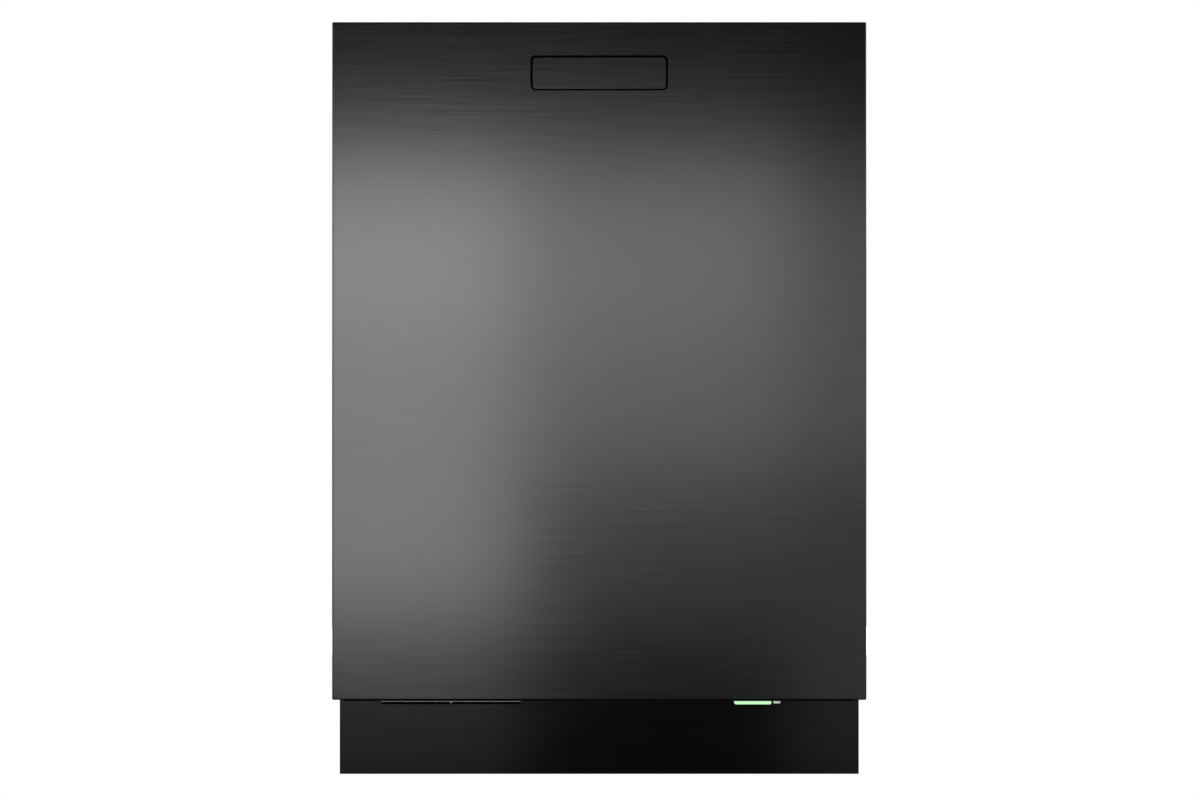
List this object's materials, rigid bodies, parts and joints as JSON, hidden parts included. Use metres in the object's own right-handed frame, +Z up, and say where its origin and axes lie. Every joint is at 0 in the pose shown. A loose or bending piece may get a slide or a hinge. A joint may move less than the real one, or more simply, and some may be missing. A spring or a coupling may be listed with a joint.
{
  "type": "built-in dishwasher",
  "caption": "Built-in dishwasher with a full-height black steel door, push-in pocket handle, hidden top buttons, sliding racks, spray arms and a recessed toe kick.",
  "frame": {"origin": "centre of the bounding box's footprint, on the floor under the feet", "axes": "+X to the right seen from the front, +Y to the rear, +Z up; the door faces -Y"},
  "size_m": [0.596, 0.57, 0.846],
  "materials": {
    "black_steel": "fine horizontal brushing under a smoked clear coat",
    "kick_paint": "satin black powder coat",
    "stainless": "satin rolled sheet",
    "galvanised": "zinc coated sheet, dull",
    "zinc_hardware": "bright zinc plate",
    "black_plastic": "fine moulded texture",
    "dark_plastic": "fine moulded texture",
    "grey_plastic": "fine moulded texture",
    "light_plastic": "fine moulded texture",
    "button_plastic": "polished",
    "rack_coat": "dipped nylon coat over steel wire",
    "rubber_seal": "matt extruded seal",
    "felt": "needled felt over bitumen",
    "filter_steel": "etched fine mesh sheet",
    "smoked_window": "polished smoked cover",
    "spring_steel": "oiled spring wire",
    "foot_plastic": "moulded",
    "white_plastic": "moulded",
    "hose_plastic": "corrugated hose",
    "green_lens": "lit translucent lens",
    "pale_lens": "frosted lens"
  },
  "bodies": {
    "cabinet": {"tub": "stainless", "tub_seal": "rubber_seal", "fine_filter": "filter_steel", "sump": "grey_plastic", "feed_pipe": "grey_plastic", "circulation_pump": "dark_plastic", "drain_pump": "dark_plastic", "inlet_valve": "white_plastic", "drain_hose": "hose_plastic", "junction_box": "dark_plastic", "base_tray": "black_plastic", "insulation_mats": "felt", "chassis_frame": "galvanised", "counter_brackets": "galvanised", "hinge_plates": "galvanised", "toe_kick": "kick_paint", "latch_strike": "zinc_hardware", "rack_rails": "stainless", "door_spring_left": "spring_steel", "door_spring_right": "spring_steel"},
    "door": {"door_skin": "black_steel", "door_liner": "stainless", "door_pad": "felt", "door_trim": "black_plastic", "control_strip": "black_plastic", "display_window": "smoked_window", "handle_pocket": "black_plastic", "flap_pin": "zinc_hardware", "flap_spring": "spring_steel", "dispenser_body": "grey_plastic", "door_vent": "black_plastic", "status_light": "green_lens", "indicator_dot": "pale_lens", "hinge_arm_left": "galvanised", "hinge_arm_right": "galvanised", "door_screws": "zinc_hardware"},
    "handle_flap": {"handle_flap": "black_steel"},
    "button_power": {"button_power": "button_plastic"},
    "button_program": {"button_program": "button_plastic"},
    "button_options": {"button_options": "button_plastic"},
    "button_start": {"button_start": "button_plastic"},
    "dispenser_lid": {"dispenser_lid": "light_plastic"},
    "rinse_cap": {"rinse_cap": "dark_plastic"},
    "latch_catch": {"latch_catch": "zinc_hardware"},
    "upper_rack": {"upper_rack": "rack_coat"},
    "upper_slides": {"upper_slides": "stainless"},
    "lower_rack": {"lower_rack": "rack_coat"},
    "cutlery_tray": {"cutlery_tray": "rack_coat"},
    "spray_arm_lower": {"spray_arm_lower": "grey_plastic"},
    "spray_arm_middle": {"spray_arm_middle": "grey_plastic"},
    "spray_arm_top": {"spray_arm_top": "grey_plastic"},
    "filter_cup": {"filter_cup": "dark_plastic"},
    "float_cap": {"float_cap": "grey_plastic"},
    "foot_front_left": {"foot_front_left": "foot_plastic"},
    "foot_front_right": {"foot_front_right": "foot_plastic"},
    "foot_rear_left": {"foot_rear_left": "foot_plastic"},
    "foot_rear_right": {"foot_rear_right": "foot_plastic"},
    "front_wheels": {"front_wheels": "grey_plastic"},
    "rear_wheels": {"rear_wheels": "grey_plastic"},
    "fold_tines": {"fold_tines": "rack_coat"}
  },
  "joints": [
    {"name": "door_hinge", "type": "hinge", "parent": "cabinet", "child": "door", "pos_m": [0, -0.25, 0.106], "axis": [1, 0, 0], "range_deg": [0, 90], "stiffness_Nm_per_rad": 25, "springref_deg": -2.86, "deforming": ["door_spring_left", "door_spring_right"]},
    {"name": "lower_rack_slide", "type": "slide", "parent": "cabinet", "child": "lower_rack", "axis": [0, -1, 0], "range_m": [0, 0.5]},
    {"name": "upper_rack_slide", "type": "slide", "parent": "cabinet", "child": "upper_rack", "axis": [0, -1, 0], "range_m": [0, 0.5]},
    {"name": "upper_slide_travel", "type": "slide", "parent": "cabinet", "child": "upper_slides", "axis": [0, -1, 0], "range_m": [0, 0.25]},
    {"name": "cutlery_tray_slide", "type": "slide", "parent": "cabinet", "child": "cutlery_tray", "axis": [0, -1, 0], "range_m": [0, 0.48]},
    {"name": "front_wheel_spin", "type": "hinge", "parent": "lower_rack", "child": "front_wheels", "pos_m": [0, -0.075, 0.1448], "axis": [1, 0, 0], "range_deg": [0, 700]},
    {"name": "rear_wheel_spin", "type": "hinge", "parent": "lower_rack", "child": "rear_wheels", "pos_m": [0, 0.192, 0.1448], "axis": [1, 0, 0], "range_deg": [0, 700]},
    {"name": "fold_tine_hinge", "type": "hinge", "parent": "lower_rack", "child": "fold_tines", "pos_m": [0.066, 0.0375, 0.165], "axis": [0, 1, 0], "range_deg": [0, 80]},
    {"name": "handle_flap_hinge", "type": "hinge", "parent": "door", "child": "handle_flap", "pos_m": [0, -0.279, 0.7739], "axis": [-1, 0, 0], "range_deg": [0, 38], "stiffness_Nm_per_rad": 0.3, "springref_deg": -11.46},
    {"name": "button_power_press", "type": "slide", "parent": "door", "child": "button_power", "axis": [0, 0, -1], "range_m": [0, 0.0015], "stiffness_N_per_m": 300, "springref_m": -0.0005},
    {"name": "button_program_press", "type": "slide", "parent": "door", "child": "button_program", "axis": [0, 0, -1], "range_m": [0, 0.0015], "stiffness_N_per_m": 300, "springref_m": -0.0005},
    {"name": "button_options_press", "type": "slide", "parent": "door", "child": "button_options", "axis": [0, 0, -1], "range_m": [0, 0.0015], "stiffness_N_per_m": 300, "springref_m": -0.0005},
    {"name": "button_start_press", "type": "slide", "parent": "door", "child": "button_start", "axis": [0, 0, -1], "range_m": [0, 0.0015], "stiffness_N_per_m": 300, "springref_m": -0.0005},
    {"name": "dispenser_lid_slide", "type": "slide", "parent": "door", "child": "dispenser_lid", "axis": [0, 0, 1], "range_m": [0, 0.05]},
    {"name": "rinse_cap_turn", "type": "hinge", "parent": "door", "child": "rinse_cap", "pos_m": [0.008, -0.229, 0.5215], "axis": [0, 1, 0], "range_deg": [0, 90]},
    {"name": "latch_catch_hinge", "type": "hinge", "parent": "door", "child": "latch_catch", "pos_m": [0, -0.2583, 0.836], "axis": [1, 0, 0], "range_deg": [0, 10], "stiffness_Nm_per_rad": 0.4, "springref_deg": -8.59},
    {"name": "lower_spray_spin", "type": "hinge", "parent": "cabinet", "child": "spray_arm_lower", "pos_m": [0, 0.013, 0.141], "axis": [0, 0, 1], "continuous": true},
    {"name": "middle_spray_spin", "type": "hinge", "parent": "upper_rack", "child": "spray_arm_middle", "pos_m": [0, 0.013, 0.43], "axis": [0, 0, 1], "continuous": true},
    {"name": "top_spray_spin", "type": "hinge", "parent": "cabinet", "child": "spray_arm_top", "pos_m": [0, 0.013, 0.793], "axis": [0, 0, 1], "continuous": true},
    {"name": "filter_cup_turn", "type": "hinge", "parent": "cabinet", "child": "filter_cup", "pos_m": [0.062, -0.017, 0.119], "axis": [0, 0, 1], "range_deg": [0, 60]},
    {"name": "float_rise", "type": "slide", "parent": "cabinet", "child": "float_cap", "axis": [0, 0, 1], "range_m": [0, 0.01]},
    {"name": "foot_front_left_thread", "type": "slide", "parent": "cabinet", "child": "foot_front_left", "axis": [0, 0, -1], "range_m": [-0.015, 0.03]},
    {"name": "foot_front_right_thread", "type": "slide", "parent": "cabinet", "child": "foot_front_right", "axis": [0, 0, -1], "range_m": [-0.015, 0.03]},
    {"name": "foot_rear_left_thread", "type": "slide", "parent": "cabinet", "child": "foot_rear_left", "axis": [0, 0, -1], "range_m": [-0.015, 0.03]},
    {"name": "foot_rear_right_thread", "type": "slide", "parent": "cabinet", "child": "foot_rear_right", "axis": [0, 0, -1], "range_m": [-0.015, 0.03]}
  ],
  "couplings": [
    {"joint": "lower_rack_slide", "follows": "door_hinge", "m_per_rad": 0.12},
    {"joint": "upper_rack_slide", "follows": "door_hinge", "m_per_rad": 0.3},
    {"joint": "upper_slide_travel", "follows": "door_hinge", "m_per_rad": 0.15},
    {"joint": "cutlery_tray_slide", "follows": "door_hinge", "m_per_rad": 0.28},
    {"joint": "front_wheel_spin", "follows": "door_hinge", "ratio": 7.5},
    {"joint": "rear_wheel_spin", "follows": "door_hinge", "ratio": 7.5}
  ]
}
